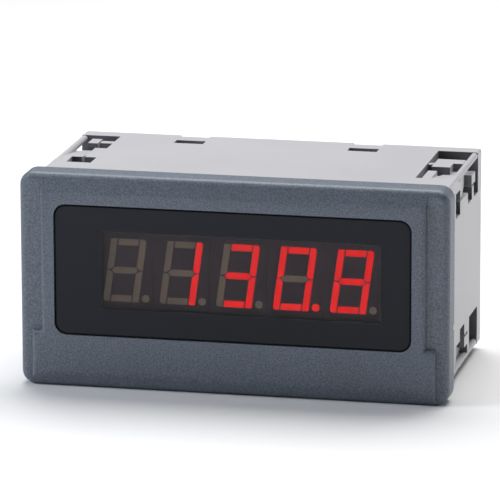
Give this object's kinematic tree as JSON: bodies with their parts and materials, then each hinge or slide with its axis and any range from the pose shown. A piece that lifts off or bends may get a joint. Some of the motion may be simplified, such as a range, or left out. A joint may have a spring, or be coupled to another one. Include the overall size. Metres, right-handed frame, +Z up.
{
  "type": "digital panel meter",
  "caption": "Panel-mounted digital meter with a smoked window, red seven-segment digits, a grey sleeve body and pull-off screw terminals.",
  "frame": {"origin": "middle of the sleeve at the panel plane, the bezel's rear face", "axes": "+X to the right seen from the front, +Y into the panel, +Z up"},
  "size_m": [0.096, 0.0635, 0.048],
  "materials": {
    "bezel": "fine moulded texture, slate grey",
    "window": "smoked acrylic, gloss",
    "gasket": "matt black",
    "housing": "fine moulded texture, light grey",
    "board": "green solder mask on glass-fibre board",
    "black_plastic": "moulded black",
    "chip": "moulded epoxy",
    "tinned_metal": "tinned, bright",
    "can_sleeve": "shrink sleeve",
    "varistor": "dipped epoxy, blue",
    "core_steel": "varnished laminations",
    "winding": "yellow polyester tape",
    "digit_body": "dark grey face",
    "segment_off": "milky epoxy, unlit",
    "segment_on": "milky epoxy, lit red",
    "terminal_green": "moulded polyamide, green",
    "zinc_screw": "zinc plated"
  },
  "bodies": {
    "case": {"bezel": "bezel", "display_window": "window", "panel_gasket": "gasket", "housing": "housing", "rear_cover": "housing", "display_board": "board", "main_board": "board", "board_link": "black_plastic", "driver_chip": "chip", "processor_chip": "chip", "converter_chip": "chip", "crystal": "tinned_metal", "smoothing_capacitor": "can_sleeve", "filter_capacitor": "can_sleeve", "varistor": "varistor", "voltage_regulator": "chip", "transformer_core": "core_steel", "transformer_bobbin": "black_plastic", "transformer_winding": "winding", "digit_module_1": "digit_body", "dark_segments_1": "segment_off", "digit_module_2": "digit_body", "dark_segments_2": "segment_off", "digit_module_3": "digit_body", "dark_segments_3": "segment_off", "digit_module_4": "digit_body", "dark_segments_4": "segment_off", "digit_module_5": "digit_body", "dark_segments_5": "segment_off", "lit_segments_2": "segment_on", "lit_segments_3": "segment_on", "lit_segments_4": "segment_on", "lit_segments_5": "segment_on", "signal_header": "terminal_green", "signal_pins": "tinned_metal", "supply_header": "terminal_green", "supply_pins": "tinned_metal"},
    "signal_plug": {"signal_plug": "terminal_green", "signal_contacts": "tinned_metal"},
    "signal_screw_1": {"signal_screw_1": "zinc_screw"},
    "signal_cage_1": {"signal_cage_1": "zinc_screw"},
    "signal_screw_2": {"signal_screw_2": "zinc_screw"},
    "signal_cage_2": {"signal_cage_2": "zinc_screw"},
    "signal_screw_3": {"signal_screw_3": "zinc_screw"},
    "signal_cage_3": {"signal_cage_3": "zinc_screw"},
    "signal_screw_4": {"signal_screw_4": "zinc_screw"},
    "signal_cage_4": {"signal_cage_4": "zinc_screw"},
    "supply_plug": {"supply_plug": "terminal_green", "supply_contacts": "tinned_metal"},
    "supply_screw_1": {"supply_screw_1": "zinc_screw"},
    "supply_cage_1": {"supply_cage_1": "zinc_screw"},
    "supply_screw_2": {"supply_screw_2": "zinc_screw"},
    "supply_cage_2": {"supply_cage_2": "zinc_screw"}
  },
  "joints": [
    {"name": "signal_plug_pull", "type": "slide", "parent": "case", "child": "signal_plug", "axis": [0, 1, 0], "range_m": [0, 0.012]},
    {"name": "signal_screw_1_turn", "type": "hinge", "parent": "signal_plug", "child": "signal_screw_1", "pos_m": [-0.02862, 0.0519, -0.001], "axis": [0, 0, -1], "range_deg": [0, 1080]},
    {"name": "signal_cage_1_lift", "type": "slide", "parent": "signal_plug", "child": "signal_cage_1", "axis": [0, 0, 1], "range_m": [0, 0.0015]},
    {"name": "signal_screw_2_turn", "type": "hinge", "parent": "signal_plug", "child": "signal_screw_2", "pos_m": [-0.02354, 0.0519, -0.001], "axis": [0, 0, -1], "range_deg": [0, 1080]},
    {"name": "signal_cage_2_lift", "type": "slide", "parent": "signal_plug", "child": "signal_cage_2", "axis": [0, 0, 1], "range_m": [0, 0.0015]},
    {"name": "signal_screw_3_turn", "type": "hinge", "parent": "signal_plug", "child": "signal_screw_3", "pos_m": [-0.01846, 0.0519, -0.001], "axis": [0, 0, -1], "range_deg": [0, 1080]},
    {"name": "signal_cage_3_lift", "type": "slide", "parent": "signal_plug", "child": "signal_cage_3", "axis": [0, 0, 1], "range_m": [0, 0.0015]},
    {"name": "signal_screw_4_turn", "type": "hinge", "parent": "signal_plug", "child": "signal_screw_4", "pos_m": [-0.01338, 0.0519, -0.001], "axis": [0, 0, -1], "range_deg": [0, 1080]},
    {"name": "signal_cage_4_lift", "type": "slide", "parent": "signal_plug", "child": "signal_cage_4", "axis": [0, 0, 1], "range_m": [0, 0.0015]},
    {"name": "supply_plug_pull", "type": "slide", "parent": "case", "child": "supply_plug", "axis": [0, 1, 0], "range_m": [0, 0.012]},
    {"name": "supply_screw_1_turn", "type": "hinge", "parent": "supply_plug", "child": "supply_screw_1", "pos_m": [0.02146, 0.0519, -0.001], "axis": [0, 0, -1], "range_deg": [0, 1080]},
    {"name": "supply_cage_1_lift", "type": "slide", "parent": "supply_plug", "child": "supply_cage_1", "axis": [0, 0, 1], "range_m": [0, 0.0015]},
    {"name": "supply_screw_2_turn", "type": "hinge", "parent": "supply_plug", "child": "supply_screw_2", "pos_m": [0.02654, 0.0519, -0.001], "axis": [0, 0, -1], "range_deg": [0, 1080]},
    {"name": "supply_cage_2_lift", "type": "slide", "parent": "supply_plug", "child": "supply_cage_2", "axis": [0, 0, 1], "range_m": [0, 0.0015]}
  ],
  "couplings": [
    {"joint": "signal_screw_1_turn", "follows": "signal_cage_1_lift", "rad_per_m": 12566},
    {"joint": "signal_screw_2_turn", "follows": "signal_cage_2_lift", "rad_per_m": 12566},
    {"joint": "signal_screw_3_turn", "follows": "signal_cage_3_lift", "rad_per_m": 12566},
    {"joint": "signal_screw_4_turn", "follows": "signal_cage_4_lift", "rad_per_m": 12566},
    {"joint": "supply_screw_1_turn", "follows": "supply_cage_1_lift", "rad_per_m": 12566},
    {"joint": "supply_screw_2_turn", "follows": "supply_cage_2_lift", "rad_per_m": 12566}
  ]
}
